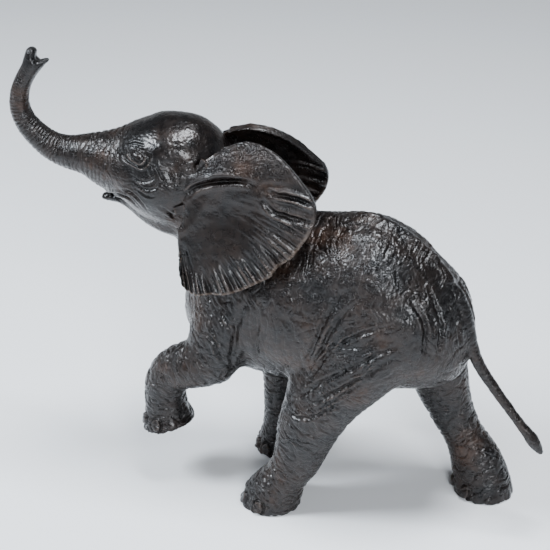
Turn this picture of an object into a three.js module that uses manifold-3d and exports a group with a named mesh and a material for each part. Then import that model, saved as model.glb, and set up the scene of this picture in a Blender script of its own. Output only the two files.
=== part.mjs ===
// A bronze elephant calf, about 390 mm from trunk to tail, striding with its trunk raised.
// It is a hollow bronze made in sections: eleven castings that meet at sawn faces, with
// backing rings inside the hollow joints, dowel pins at the solid ones, and core plugs.
// Millimetres. +Z is up, the elephant walks towards -X, and its left side faces -Y.
import * as THREE from 'three';
import { mergeVertices } from 'three/addons/utils/BufferGeometryUtils.js';
import Module from 'manifold-3d';

// Driving dimensions
const WALL = 4.5;               // thickness of the hollow castings
const GAP = 0.3;                // clearance between neighbouring pieces
const HEAD_TURN = 16;           // degrees that the head looks to its left
const HEAD_PIVOT_X = -8;        // the head turns about a vertical line here
const RING_DEPTH = 14;          // length of a backing ring along its joint
const RING_WALL = 2.5;          // thickness of a backing ring
const PIN_RADIUS = 1.6;         // dowel pins
const PIN_LENGTH = 6.5;
const PLUG_RADIUS = 6;          // core plugs in the body wall
const PLUG_LENGTH = 24;         // of the bar that a plug is cut from
const EAR_ROOT_THICKNESS = 8;
const EAR_RIM_THICKNESS = 3.4;
const EAR_HOLLOW = 2.5;          // how far the ear's middle lies behind a flat sheet
const RIGHT_EAR_SWEEP = 11;     // degrees that the right ear lies closer to the neck
const RIGHT_EAR_DROP = 4;       // and how much lower it hangs
const CUTTER_SIZE = 400;        // half-space cutters are boxes this large
const SAME_PLACE = 1e-4;        // corners closer than this are one corner
const THINNEST = 0.5;           // least reach of a ring round its path
const LOOK_AHEAD = 0.01;        // of a station, to find which way a path runs
const CURVE_TENSION = 0.5;
const NOSTRIL_RADIUS = 3.8;

const wasm = await Module();
wasm.setup();

// ---- making solids --------------------------------------------------------------------

function solid(geometry) {
  const bare = geometry.clone();
  bare.deleteAttribute('normal');
  bare.deleteAttribute('uv');
  const merged = mergeVertices(bare, SAME_PLACE);
  return new wasm.Manifold(new wasm.Mesh({
    numProp: 3,
    vertProperties: new Float32Array(merged.attributes.position.array),
    triVerts: new Uint32Array(merged.index.array),
  }));
}

function join(solids) {
  return solids.reduce((whole, one) => whole.add(one));
}

function geometryOf(body) {
  const mesh = body.getMesh();
  const geometry = new THREE.BufferGeometry();
  geometry.setAttribute('position', new THREE.BufferAttribute(mesh.vertProperties, 3));
  geometry.setIndex(new THREE.BufferAttribute(mesh.triVerts, 1));
  geometry.computeVertexNormals();
  return geometry;
}

// A smooth curve through rows of numbers, read at a station number such as 2.5.
function smoothRows(rows) {
  const width = rows[0].length;
  const curves = [];
  for (let first = 0; first < width; first += 3) {
    const points = rows.map((row) => new THREE.Vector3(row[first], row[first + 1], row[first + 2]));
    curves.push(new THREE.CatmullRomCurve3(points, false, 'catmullrom', CURVE_TENSION));
  }
  return (station) => curves.flatMap((curve) => curve.getPoint(station / (rows.length - 1)).toArray());
}

// A closed skin of rings around a path. Each station is [x, y, z, half width, up, down]:
// the ring's centre, and its reach to the sides, upwards and downwards. "Up" is the side
// axis crossed with the path, so on a leg that runs down it is the front of the leg.
// upright keeps every ring square to that direction instead of to the path.
// grow moves the skin outwards, top and belly set how pinched each half of a ring is.
function loft(stations, { sides = 12, steps = 2, upright = null, grow = 0, top = 1, belly = 1 } = {}) {
  const read = smoothRows(stations);
  const count = (stations.length - 1) * steps;
  const sideways = new THREE.Vector3(0, 1, 0);
  const positions = [];
  const index = [];
  for (let ring = 0; ring <= count; ring += 1) {
    const at = ring / steps;
    const [x, y, z, halfWidth, up, down] = read(at);
    const before = new THREE.Vector3(...read(Math.max(at - LOOK_AHEAD, 0)));
    const after = new THREE.Vector3(...read(Math.min(at + LOOK_AHEAD, stations.length - 1)));
    const along = upright ? upright.clone() : after.sub(before).normalize();
    const side = sideways.clone().addScaledVector(along, -sideways.dot(along)).normalize();
    const upward = side.clone().cross(along);
    for (let corner = 0; corner < sides; corner += 1) {
      const angle = 2 * Math.PI * corner / sides;
      const c = Math.cos(angle);
      const s = Math.sin(angle);
      const pinch = s > 0 ? top : belly;
      const reach = Math.max((s > 0 ? up : down) + grow, THINNEST);
      const across = Math.max(halfWidth + grow, THINNEST) * Math.sign(c) * Math.abs(c) ** pinch;
      const rise = reach * Math.sign(s) * Math.abs(s) ** (1 / Math.sqrt(pinch));
      const point = new THREE.Vector3(x, y, z).addScaledVector(side, across).addScaledVector(upward, rise);
      positions.push(...point.toArray());
      const next = ring * sides + (corner + 1) % sides;
      const here = ring * sides + corner;
      if (ring < count) {
        index.push(here, next + sides, next, here, here + sides, next + sides);
      }
    }
  }
  for (const [ring, flip] of [[0, false], [count, true]]) {
    const [x, y, z] = read(ring / steps);
    positions.push(x, y, z);
    const pole = positions.length / 3 - 1;
    for (let corner = 0; corner < sides; corner += 1) {
      const here = ring * sides + corner;
      const next = ring * sides + (corner + 1) % sides;
      index.push(pole, ...(flip ? [next, here] : [here, next]));
    }
  }
  const geometry = new THREE.BufferGeometry();
  geometry.setAttribute('position', new THREE.Float32BufferAttribute(positions, 3));
  geometry.setIndex(index);
  return solid(geometry);
}

const HEAD_FRAME = new THREE.Matrix4()
  .makeTranslation(HEAD_PIVOT_X, 0, 0)
  .multiply(new THREE.Matrix4().makeRotationZ(THREE.MathUtils.degToRad(HEAD_TURN)))
  .multiply(new THREE.Matrix4().makeTranslation(-HEAD_PIVOT_X, 0, 0));

function inHeadFrame(body) {
  return body.transform(HEAD_FRAME.toArray());
}

// A large box whose one face passes through a point, on the side that the direction names.
function beyond(point, direction, shift = 0) {
  const box = new THREE.BoxGeometry(CUTTER_SIZE, CUTTER_SIZE, CUTTER_SIZE);
  const normal = new THREE.Vector3(...direction).normalize();
  const centre = new THREE.Vector3(...point).addScaledVector(normal, CUTTER_SIZE / 2 + shift);
  const turn = new THREE.Quaternion().setFromUnitVectors(new THREE.Vector3(0, 0, 1), normal);
  box.applyQuaternion(turn);
  box.translate(...centre.toArray());
  return solid(box);
}

// A box between two corners.
function block(low, high) {
  const box = new THREE.BoxGeometry(high[0] - low[0], high[1] - low[1], high[2] - low[2]);
  box.translate((low[0] + high[0]) / 2, (low[1] + high[1]) / 2, (low[2] + high[2]) / 2);
  return solid(box);
}

// A round bar centred on a point and pointing along a direction.
function bar(centre, direction, radius, length, sides = 16) {
  const cylinder = new THREE.CylinderGeometry(radius, radius, length, sides);
  const normal = new THREE.Vector3(...direction).normalize();
  cylinder.applyQuaternion(new THREE.Quaternion().setFromUnitVectors(new THREE.Vector3(0, 1, 0), normal));
  cylinder.translate(...centre);
  return solid(cylinder);
}

// ---- the animal's form ----------------------------------------------------------------

const FORWARD = new THREE.Vector3(-1, 0, 0);
const DOWN = new THREE.Vector3(0, 0, -1);

// Rump to chest.
const BODY = [
  [151, 0, 141, 9, 8, 9],
  [147, 0, 142, 24, 20, 22],
  [139, 0, 145, 35, 38, 34],
  [124, 0, 149, 43, 53, 43],
  [107, 0, 152, 47, 63, 50],
  [90, 0, 153, 49, 71.5, 53],
  [73, 0, 153, 50, 75, 55],
  [56, 0, 152, 50, 73, 57],
  [36, 0, 151, 50, 70, 60],
  [12, 0, 151, 49, 68, 62],
  [-12, 0, 150, 47, 68, 59],
  [-32, 0, 148, 43, 64, 50],
  [-47, 0, 143, 36, 50, 39],
  [-58, 0, 138, 26, 32, 26],
  [-65, 0, 135, 13, 15, 13],
];
const BODY_SHAPE = { sides: 24, upright: FORWARD, top: 1.3, belly: 0.95 };

// Withers to skull.
const NECK = [
  [14, 0, 164, 38, 38, 50],
  [-8, -1, 182, 38, 44, 55],
  [-27, -4, 200, 35, 45, 46],
  [-43, -9, 216, 32, 42, 37],
  [-58, -14, 230, 30, 36, 30],
];
const NECK_SHAPE = { sides: 18, top: 1.2 };

// Nape to trunk tip, before the head is turned.
const HEAD = [
  [-36, 0, 234, 20, 20, 24],
  [-47, 0, 238, 31, 36, 34],
  [-58, 0, 240, 36, 43, 38],
  [-72, 0, 242, 38, 43, 40],
  [-87, 0, 243, 36, 41, 34],
  [-100, 0, 245, 31, 34, 25],
  [-112, 0, 247, 25, 26.5, 21.5],
  [-123, 0, 249.5, 19.5, 19.5, 20.5],
  [-134, 0, 251, 15, 15, 15],
  [-147, 0, 251.5, 12.5, 12.3, 12.3],
];
const HEAD_SHAPE = { sides: 18, belly: 0.95 };
const TRUNK = [
  [-112, 0, 247, 18, 18, 17],
  [-123, 0, 249.5, 19.4, 19.4, 20.4],
  [-134, 0, 251, 15, 15, 15],
  [-147, 0, 251.8, 12.4, 12.2, 12],
  [-159, 0, 256, 10.8, 10.4, 10.2],
  [-170, 0, 265, 9.4, 8.8, 8.8],
  [-178, 0, 276, 8.4, 7.8, 7.8],
  [-180.5, 0, 288.5, 7.6, 7, 7],
  [-177.5, 0, 301, 7, 6.4, 6.4],
  [-172, 0, 311, 7, 6.3, 6.3],
  [-166.5, 0, 319.5, 8, 7.4, 7],
];
const TRUNK_SHAPE = { sides: 12 };
const UPPER_FINGER = [
  [-172, 0, 314, 5.5, 4.5, 4.5],
  [-169.5, 0, 322, 6, 4.4, 4.4],
  [-167.5, 0, 327, 4.4, 3, 3],
];
const LOWER_FINGER = [
  [-168, 0, 312, 4.5, 3.2, 3.2],
  [-162, 0, 318, 4.6, 2.6, 2.6],
  [-156, 0, 320.5, 2, 1.2, 1.2],
];

// Throat to lower lip, before the head is turned.
const JAW = [
  [-64, 0, 207, 20, 14, 15],
  [-75, 0, 209.5, 22, 14, 13.5],
  [-87, 0, 213.5, 18.5, 12, 12],
  [-98, 0, 217.5, 13, 8, 8.5],
  [-108, 0, 220, 9, 4.2, 4.8],
  [-117, 0, 220, 6.4, 2.6, 3.4],
  [-124, 0, 219, 3.2, 1.5, 1.9],
];

const FORELEG_RIGHT = [
  [-14, 28, 152, 18, 28, 28],
  [-11, 28, 122, 18.5, 22, 24],
  [-7, 28, 98, 17, 17, 19],
  [-5, 28, 74, 15.5, 15, 15.5],
  [-4, 28, 50, 14.5, 14.5, 14.5],
  [-4, 27, 28, 14.5, 14, 14.5],
  [-5, 26.5, 12, 16.5, 16.5, 16],
  [-6, 26, 0, 19, 19, 18.5],
];
const UPPER_FORELEG_LEFT = [
  [-16, -28, 160, 17, 27, 27],
  [-20, -32, 136, 19, 28, 26],
  [-26, -36, 116, 19, 25, 20],
  [-30, -37, 100, 17, 19, 17],
  [-31, -38, 89, 9, 9, 9],
];
const FORELEG_LEFT = [
  [-22, -36, 106, 12, 11, 11],
  [-34, -38, 104, 18.5, 19.5, 18],
  [-50, -39, 98, 18.5, 19, 17],
  [-63, -39.5, 89.5, 17, 17.5, 15.5],
  [-69.5, -40, 77, 16, 16, 15.5],
  [-69.5, -40, 64, 16.2, 15.5, 16],
  [-68, -40, 53, 18.5, 18.5, 18],
  [-66, -40, 46, 21, 22, 20],
];
const HINDLEG_LEFT = [
  [96, -24, 164, 22, 42, 38],
  [86, -30, 138, 24, 42, 38],
  [71, -35, 112, 22.5, 39, 35],
  [57, -38.5, 91, 20.5, 30, 29],
  [47, -40, 71, 19, 24, 25],
  [41, -40.5, 51, 18, 19.5, 21],
  [35, -41, 34, 17.5, 18, 19.5],
  [25, -42, 18, 20, 23, 19],
  [18, -43, 0, 22, 24, 22.5],
];
const HINDLEG_RIGHT = [
  [108, 24, 164, 22, 34, 28],
  [112, 30, 132, 23, 33, 28],
  [114, 34, 106, 20.5, 27, 26],
  [118, 36.5, 86, 18, 22, 24],
  [125, 38, 68, 16, 20, 20],
  [135, 38, 50, 15.5, 18, 18.5],
  [146, 37, 36, 15.5, 19, 21],
  [154, 36, 18, 18, 21.5, 22.5],
  [159, 35, 0, 22, 24, 22.5],
];
const LEG_SHAPE = { sides: 14, upright: DOWN };
const BENT_LEG_SHAPE = { sides: 14 };

const TAIL = [
  [132, 0, 184, 6, 5, 5],
  [144, 0, 168, 5.6, 5, 4.6],
  [149, 0, 152, 4.8, 4.6, 4.4],
  [152.5, 0, 139, 4.2, 4, 4],
  [159, 0, 126, 3.7, 3.5, 3.5],
  [169.5, 0, 112, 3.3, 3.2, 3.2],
  [180.5, 0, 99, 3, 2.9, 2.9],
  [191.5, 0, 86, 3, 2.9, 2.9],
  [198.5, 0, 78.5, 3.9, 3.8, 3.8],
  [203, 0, 73, 3.7, 3.5, 3.5],
  [207.5, 0, 66.5, 1.3, 1.2, 1.2],
];

// The left ear before the head is turned: root on the skull from crown to cheek, and the
// free rim from crown to cheek. The right ear is its mirror image.
const EAR_ROOT = [
  [-41, -30, 262],
  [-52, -36, 252],
  [-57, -38, 240],
  [-59, -38, 226],
  [-60, -36, 214],
];
const EAR_RIM = [
  [-31, -25, 271.5],
  [-13, -24, 276.5],
  [6, -30, 271.5],
  [23, -39, 258],
  [36, -47, 240],
  [31, -51, 218.5],
  [13, -53.5, 197],
  [-13, -54, 180],
  [-40, -53, 171],
  [-57, -49, 177],
  [-57, -43, 196],
  [-60, -38, 211],
];
const EAR_ROWS = 5;             // cells from root to rim
const EAR_COLUMNS = 18;         // cells along the rim

// ---- the pattern and its core ---------------------------------------------------------

const CORE_SIDES = { sides: 10, steps: 1 };

// All the hollow sections in one skin. A skin that lies inside the surface is a coarser one.
function pattern(grow) {
  const detail = grow < 0 ? CORE_SIDES : {};
  const skin = (stations, shape) => loft(stations, { ...shape, ...detail, grow });
  return join([
    skin(BODY, BODY_SHAPE),
    skin(NECK, NECK_SHAPE),
    inHeadFrame(skin(HEAD, HEAD_SHAPE)),
    skin(UPPER_FORELEG_LEFT, BENT_LEG_SHAPE),
    skin(FORELEG_LEFT, BENT_LEG_SHAPE),
    skin(FORELEG_RIGHT, LEG_SHAPE),
    skin(HINDLEG_LEFT, LEG_SHAPE),
    skin(HINDLEG_RIGHT, LEG_SHAPE),
  ]);
}

// Where the core doesn't reach: the four feet, the bent elbow, the breast and the rump.
const SOLID_PLACES = [
  [[-120, -90, -10], [-40, 0, 64]],
  [[-60, 0, -10], [40, 80, 26]],
  [[-40, -90, -10], [80, 0, 26]],
  [[90, 0, -10], [210, 80, 26]],
  [[-37, -70, 80], [-10, -20, 95]],
  [[-80, -25, 100], [-60, 60, 149]],
  [[146, -60, 100], [160, 60, 190]],
];

const patternSolid = pattern(0);
const clearance = pattern(GAP);
const solidPlaces = join(SOLID_PLACES.map(([low, high]) => block(low, high)));
const core = pattern(-WALL).subtract(solidPlaces);

// ---- where the pattern is sawn into castings ------------------------------------------

// Each hollow joint: a point of the saw cut, the direction that the casting lies in, and
// two corners of the space that holds it.
const JOINTS = {
  neck: {
    at: [-40, -8, 212], towards: [-1, -0.2, 0.32], low: [-260, -120, 150], high: [60, 120, 360],
  },
  trunk: {
    at: [-121.5, -32.5, 250], towards: [-0.96, -0.28, 0], low: [-260, -120, 200], high: [-90, 60, 360],
  },
  foreleg_left: {
    at: [-53, -39, 97], towards: [-0.87, 0, -0.5], low: [-120, -90, 10], high: [-38, -15, 122],
  },
  foreleg_right: {
    at: [-8, 28, 82], towards: [0, 0, -1], low: [-60, 4, -10], high: [30, 80, 100],
  },
  hindleg_left: {
    at: [54, -38, 80], towards: [0, 0, -1], low: [-40, -90, -10], high: [110, -4, 95],
  },
  hindleg_right: {
    at: [119, 37, 80], towards: [0, 0, -1], low: [80, 4, -10], high: [210, 90, 95],
  },
};

// The space on the far side of a saw cut, starting shift beyond it.
function section(joint, shift = 0) {
  return beyond(joint.at, joint.towards, shift).intersect(block(joint.low, joint.high));
}

// ---- pieces that line up and close the castings ---------------------------------------

const PLUGS = [
  { name: 'core_plug_belly_front', at: [4, 0, 90], towards: [0, 0, 1] },
  { name: 'core_plug_belly_rear', at: [66, 0, 98], towards: [0, 0, 1] },
  { name: 'core_plug_right_flank', at: [40, 46, 150], towards: [0, 1, 0] },
];

const headAngle = THREE.MathUtils.degToRad(HEAD_TURN);
const SIDEWAYS = [Math.sin(headAngle), -Math.cos(headAngle), 0];

// A place in the head's own frame, after the head is turned.
function inHead(x, y, z) {
  return new THREE.Vector3(x, y, z).applyMatrix4(HEAD_FRAME).toArray();
}

const PINS = [
  { name: 'pin_ear_left_upper', at: inHead(-54, -32, 245), towards: SIDEWAYS },
  { name: 'pin_ear_left_lower', at: inHead(-57, -32, 224), towards: SIDEWAYS },
  { name: 'pin_ear_right_upper', at: inHead(-54, 32, 245), towards: SIDEWAYS },
  { name: 'pin_ear_right_lower', at: inHead(-57, 32, 224), towards: SIDEWAYS },
  { name: 'pin_jaw_front', at: inHead(-86, 0, 207.5), towards: [0, 0, 1] },
  { name: 'pin_jaw_rear', at: inHead(-74, 0, 203.5), towards: [0, 0, 1] },
  { name: 'pin_tail', at: [143.5, 0, 163], towards: [1, 0, 0] },
];

const plugBar = (plug, grow) => bar(plug.at, plug.towards, PLUG_RADIUS + grow, PLUG_LENGTH);
const pinBar = (pin, grow) => bar(pin.at, pin.towards, PIN_RADIUS + grow, PIN_LENGTH + 2 * grow, 10);
const pinHoles = join(PINS.map((pin) => pinBar(pin, GAP)));
const plugHoles = join(PLUGS.map((plug) => plugBar(plug, GAP)));

const wall = patternSolid.subtract(core);
const drilledWall = wall.subtract(pinHoles).subtract(plugHoles);
const ringOuter = pattern(-WALL - GAP);
const ringInner = pattern(-WALL - GAP - RING_WALL);
const ringWall = ringOuter.subtract(ringInner);

// A ring inside a hollow joint, half of it on each side of the saw cut.
function backingRing(joint) {
  return ringWall.intersect(section(joint, -RING_DEPTH / 2)).subtract(section(joint, RING_DEPTH / 2));
}

// ---- castings -------------------------------------------------------------------------

function torso() {
  return Object.values(JOINTS).reduce((rest, joint) => rest.subtract(section(joint)), drilledWall);
}

function head() {
  return drilledWall.intersect(section(JOINTS.neck, GAP)).subtract(section(JOINTS.trunk));
}

function trunk() {
  const tube = inHeadFrame(join([
    loft(TRUNK, TRUNK_SHAPE),
    loft(UPPER_FINGER, { sides: 8 }),
    loft(LOWER_FINGER, { sides: 8 }),
  ]));
  return tube.intersect(section(JOINTS.trunk, GAP)).subtract(core).subtract(nostrils());
}

// The open end of the trunk, between its two fingers.
function nostrils() {
  const hollow = new THREE.SphereGeometry(NOSTRIL_RADIUS, 12, 8);
  hollow.scale(1, 1.2, 1.3);
  hollow.rotateY(THREE.MathUtils.degToRad(32));
  hollow.translate(-163.4, 0, 323);
  return inHeadFrame(solid(hollow));
}

function lowerJaw() {
  return inHeadFrame(loft(JAW)).subtract(clearance).subtract(pinHoles);
}

function tail() {
  return loft(TAIL, { sides: 8 }).subtract(clearance).subtract(pinHoles);
}

const leg = (name) => drilledWall.intersect(section(JOINTS[name], GAP));

// A thick sheet between root and rim, dished away from the side that faces forwards.
function earSheet() {
  const root = new THREE.CatmullRomCurve3(EAR_ROOT.map((place) => new THREE.Vector3(...place)));
  const rim = new THREE.CatmullRomCurve3(EAR_RIM.map((place) => new THREE.Vector3(...place)));
  const positions = [];
  const index = [];
  const width = EAR_ROWS + 1;
  for (let column = 0; column <= EAR_COLUMNS; column += 1) {
    const u = column / EAR_COLUMNS;
    const from = root.getPointAt(u);
    const to = rim.getPointAt(u);
    for (let row = 0; row <= EAR_ROWS; row += 1) {
      const v = row / EAR_ROWS;
      const point = from.clone().lerp(to, v);
      point.y += EAR_HOLLOW * Math.sin(Math.PI * v) * Math.sqrt(Math.sin(Math.PI * u));
      const half = THREE.MathUtils.lerp(EAR_ROOT_THICKNESS, EAR_RIM_THICKNESS, v ** 0.6) / 2;
      positions.push(point.x, point.y - half, point.z);
      positions.push(point.x, point.y + half, point.z);
    }
  }
  const corner = (column, row, side) => 2 * (column * width + row) + side;
  const quad = (a, b, c, d) => index.push(a, b, c, a, c, d);
  for (let column = 0; column < EAR_COLUMNS; column += 1) {
    const next = column + 1;
    for (let row = 0; row < EAR_ROWS; row += 1) {
      const up = row + 1;
      quad(corner(column, row, 0), corner(next, row, 0), corner(next, up, 0), corner(column, up, 0));
      quad(corner(column, row, 1), corner(column, up, 1), corner(next, up, 1), corner(next, row, 1));
    }
    quad(corner(column, 0, 0), corner(column, 0, 1), corner(next, 0, 1), corner(next, 0, 0));
    quad(corner(column, EAR_ROWS, 0), corner(next, EAR_ROWS, 0),
      corner(next, EAR_ROWS, 1), corner(column, EAR_ROWS, 1));
  }
  for (let row = 0; row < EAR_ROWS; row += 1) {
    const up = row + 1;
    quad(corner(0, row, 0), corner(0, up, 0), corner(0, up, 1), corner(0, row, 1));
    quad(corner(EAR_COLUMNS, row, 0), corner(EAR_COLUMNS, row, 1),
      corner(EAR_COLUMNS, up, 1), corner(EAR_COLUMNS, up, 0));
  }
  const geometry = new THREE.BufferGeometry();
  geometry.setAttribute('position', new THREE.Float32BufferAttribute(positions, 3));
  geometry.setIndex(index);
  return geometry;
}

function ear(side) {
  const sheet = earSheet();
  if (side === 'left') {
    return inHeadFrame(solid(sheet)).subtract(clearance).subtract(pinHoles);
  }
  const [x, y] = EAR_ROOT[2];
  sheet.translate(-x, -y, 0);
  sheet.rotateZ(THREE.MathUtils.degToRad(RIGHT_EAR_SWEEP));
  sheet.translate(x, y, -RIGHT_EAR_DROP);
  return inHeadFrame(solid(sheet).mirror([0, 1, 0])).subtract(clearance).subtract(pinHoles);
}

// ---- the assembly ---------------------------------------------------------------------

const PATINA = { color: 0x2b211c, roughness: 0.3, metalness: 0.8 };
const BARE_BRONZE = { color: 0x9a7440, roughness: 0.45, metalness: 0.9 };

const elephant = new THREE.Group();

function place(name, body, finish) {
  const mesh = new THREE.Mesh(geometryOf(body), new THREE.MeshStandardMaterial(finish));
  mesh.name = name;
  elephant.add(mesh);
}

place('torso', torso(), PATINA);
place('head', head(), PATINA);
place('trunk', trunk(), PATINA);
place('lower_jaw', lowerJaw(), PATINA);
place('ear_left', ear('left'), PATINA);
place('ear_right', ear('right'), PATINA);
place('tail', tail(), PATINA);
for (const name of ['foreleg_left', 'foreleg_right', 'hindleg_left', 'hindleg_right']) {
  place(name, leg(name), PATINA);
}
for (const [name, joint] of Object.entries(JOINTS)) {
  place(`backing_ring_${name}`, backingRing(joint), BARE_BRONZE);
}
for (const pin of PINS) {
  place(pin.name, pinBar(pin, 0), BARE_BRONZE);
}
for (const plug of PLUGS) {
  place(plug.name, wall.intersect(plugBar(plug, 0)), PATINA);
}

// The origin is on the ground, midway along and across the whole figure.
const extent = new THREE.Box3().setFromObject(elephant);
const middle = extent.getCenter(new THREE.Vector3());
elephant.position.set(-middle.x, -middle.y, -extent.min.z);

export default elephant;
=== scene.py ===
"""Bronze elephant calf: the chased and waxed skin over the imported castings.

The castings are fused into one level set, which closes their saw cuts as welding does. Its
surface is smoothed, sculpted with folds, wrinkles, eyes and nails, and cut up again into
one piece for each casting. Lengths are millimetres in the row frame until a mesh is made.
"""
import math

import bpy
import numpy as np
import openvdb
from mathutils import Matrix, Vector


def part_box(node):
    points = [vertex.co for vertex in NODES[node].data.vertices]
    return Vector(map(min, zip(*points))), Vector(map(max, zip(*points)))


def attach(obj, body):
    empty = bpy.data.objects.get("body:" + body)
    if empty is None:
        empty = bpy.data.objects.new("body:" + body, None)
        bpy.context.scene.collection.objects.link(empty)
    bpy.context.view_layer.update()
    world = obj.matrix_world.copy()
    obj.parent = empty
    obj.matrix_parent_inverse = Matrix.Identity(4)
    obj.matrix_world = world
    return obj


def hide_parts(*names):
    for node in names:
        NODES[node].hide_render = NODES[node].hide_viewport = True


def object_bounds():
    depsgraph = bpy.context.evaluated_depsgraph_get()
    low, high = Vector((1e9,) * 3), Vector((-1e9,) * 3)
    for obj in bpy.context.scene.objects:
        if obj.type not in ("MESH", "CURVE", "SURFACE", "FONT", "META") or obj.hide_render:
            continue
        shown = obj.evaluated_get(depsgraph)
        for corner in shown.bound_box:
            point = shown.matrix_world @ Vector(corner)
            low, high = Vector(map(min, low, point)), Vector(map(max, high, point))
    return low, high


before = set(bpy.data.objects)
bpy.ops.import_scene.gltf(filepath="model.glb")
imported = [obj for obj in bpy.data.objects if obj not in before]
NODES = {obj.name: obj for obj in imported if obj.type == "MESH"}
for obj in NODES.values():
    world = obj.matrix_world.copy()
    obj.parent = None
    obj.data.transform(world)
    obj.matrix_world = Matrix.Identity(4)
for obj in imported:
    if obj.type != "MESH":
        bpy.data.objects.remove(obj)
CAD_LOW, CAD_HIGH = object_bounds()

MM = 0.001
VOXEL = 1.0                      # of the level set; the skin is split once to half of this
MARGIN = 6.0
BAND = 3.0                       # voxels
WELD = 0.25                      # how far the fused surface stands out to close the cuts
WORN_HEIGHT = 0.35               # a place that stands out this far is fully worn
SMOOTHING_ROUNDS = 110
OWNER_ROUNDS = 12
TAIL_FILL, JAW_FILL = 0.8, 0.3   # how far these thin castings are built out

# The midline of the body and the ground under it, where the animal's own tables start.
BODY_ORIGIN = np.array([-13.9, 4.0, 0.0])
HEAD_TURN, HEAD_PIVOT = math.radians(16), np.array([-8.0, 0.0, 0.0])

# Castings of the fused skin, and how far each may relax, from 0 to 1.
SOFTNESS = {"torso": 1.0, "head": 0.55, "trunk": 0.16, "lower_jaw": 0.10, "tail": 0.10,
            "foreleg_left": 0.42, "foreleg_right": 0.42,
            "hindleg_left": 0.42, "hindleg_right": 0.42}
SKIN_CASTINGS = list(SOFTNESS)
TORSO, HEAD, TRUNK, JAW, TAIL = range(5)
EARS = ["ear_left", "ear_right"]
PLUGS = [name for name in NODES if name.startswith("core_plug")]
BARE = [name for name in NODES if name.startswith(("backing_ring", "pin_"))]


# ---- numbers and fields ---------------------------------------------------------------

def unit(vectors):
    return vectors / np.maximum(np.linalg.norm(vectors, axis=-1, keepdims=True), 1e-9)


def step(low, high, value):
    t = np.clip((value - low) / (high - low), 0, 1)
    return t * t * (3 - 2 * t)


def hash01(cells, seed):
    """A repeatable number from 0 to 1 for each whole-number cell."""
    h = cells[:, 0].astype(np.int64) * 374761393 + cells[:, 1].astype(np.int64) * 668265263
    h = h + cells[:, 2].astype(np.int64) * 2147483647 + seed * 1274126177
    h = (h ^ (h >> 13)) * 1274126177
    h = h & 0xFFFFFFFF
    h = (h ^ (h >> 16)) * 2246822519 & 0xFFFFFFFF
    return ((h ^ (h >> 15)) & 0xFFFFFF) / float(0xFFFFFF)


def noise(points, seed=0):
    """Smooth noise from -1 to 1, about one bump per unit."""
    base = np.floor(points)
    t = points - base
    t = t * t * (3 - 2 * t)
    base = base.astype(np.int64)
    total = np.zeros(len(points))
    for corner in range(8):
        offset = np.array([corner & 1, corner >> 1 & 1, corner >> 2 & 1])
        weight = np.prod(np.where(offset, t, 1 - t), axis=1)
        total += weight * hash01(base + offset, seed)
    return 2 * total - 1


def ridged(points, seed=0):
    """Noise with sharp valleys: 1 in a crease, 0 away from it."""
    return 1 - np.minimum(np.abs(noise(points, seed)) * 2.6, 1)


# ---- from castings to one skin --------------------------------------------------------

def cad_triangles(node):
    mesh = NODES[node].data
    mesh.calc_loop_triangles()
    places = np.empty(len(mesh.vertices) * 3, np.float32)
    mesh.vertices.foreach_get("co", places)
    corners = np.empty(len(mesh.loop_triangles) * 3, np.int32)
    mesh.loop_triangles.foreach_get("vertices", corners)
    return places.reshape(-1, 3) / MM, corners.reshape(-1, 3).astype(np.uint32)


def lattice(nodes, voxel):
    """Lowest corner and shape of a grid of voxels round some nodes."""
    boxes = [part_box(node) for node in nodes]
    low = np.min([np.array(b[0]) for b in boxes], axis=0) / MM - MARGIN
    high = np.max([np.array(b[1]) for b in boxes], axis=0) / MM + MARGIN
    return low, tuple(np.ceil((high - low) / voxel).astype(int))


def distance_field(node, low, shape, voxel):
    """Signed distance to a casting in voxels, up to BAND."""
    places, corners = cad_triangles(node)
    level_set = openvdb.FloatGrid.createLevelSetFromPolygons(
        ((places - low) / voxel).astype(np.float32), triangles=corners, halfWidth=BAND)
    field = np.empty(shape, np.float32)
    level_set.copyToArray(field)
    return field


def reach_from_outside(open_space):
    """The open voxels that connect to the edge of the grid."""
    outside = np.zeros_like(open_space)
    outside[0], outside[-1] = open_space[0], open_space[-1]
    outside[:, 0], outside[:, -1] = open_space[:, 0], open_space[:, -1]
    outside[:, :, -1] = open_space[:, :, -1]
    count = 0
    while outside.sum() != count:
        count = outside.sum()
        for axis in range(3):
            moving, free = np.moveaxis(outside, axis, 0), np.moveaxis(open_space, axis, 0)
            for i in range(1, len(moving)):
                moving[i] |= moving[i - 1] & free[i]
            for i in range(len(moving) - 2, -1, -1):
                moving[i] |= moving[i + 1] & free[i]
    return outside


def surface(field, low, voxel):
    """Vertices and quads of the zero surface, facing outward."""
    grid = openvdb.FloatGrid(BAND)
    grid.copyFromArray(field)
    points, quads = grid.convertToQuads(0.0)
    return points.astype(float) * voxel + low, quads.astype(np.int64)


def fused_skin():
    """Points, quads and owners of the castings and core plugs as one surface. The holes for
    the ear pins lead into the cores, so the inside of the walls is part of it."""
    low, shape = lattice(SKIN_CASTINGS, VOXEL)
    field = np.full(shape, BAND, np.float32)
    owner = np.zeros(shape, np.int8)
    for index, node in enumerate(SKIN_CASTINGS):
        own = distance_field(node, low, shape, VOXEL)
        nearer = own < field
        owner[nearer] = index
        np.minimum(field, own, out=field)
    for node in PLUGS:
        np.minimum(field, distance_field(node, low, shape, VOXEL), out=field)
    field -= WELD / VOXEL
    outside = reach_from_outside(field > 0)
    field[~outside & (field > 0)] = -BAND
    points, quads = surface(field, low, VOXEL)
    cell = np.clip(np.round((points - low) / VOXEL).astype(int), 0, np.array(shape) - 1)
    return points, quads, owner[cell[:, 0], cell[:, 1], cell[:, 2]]


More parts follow.
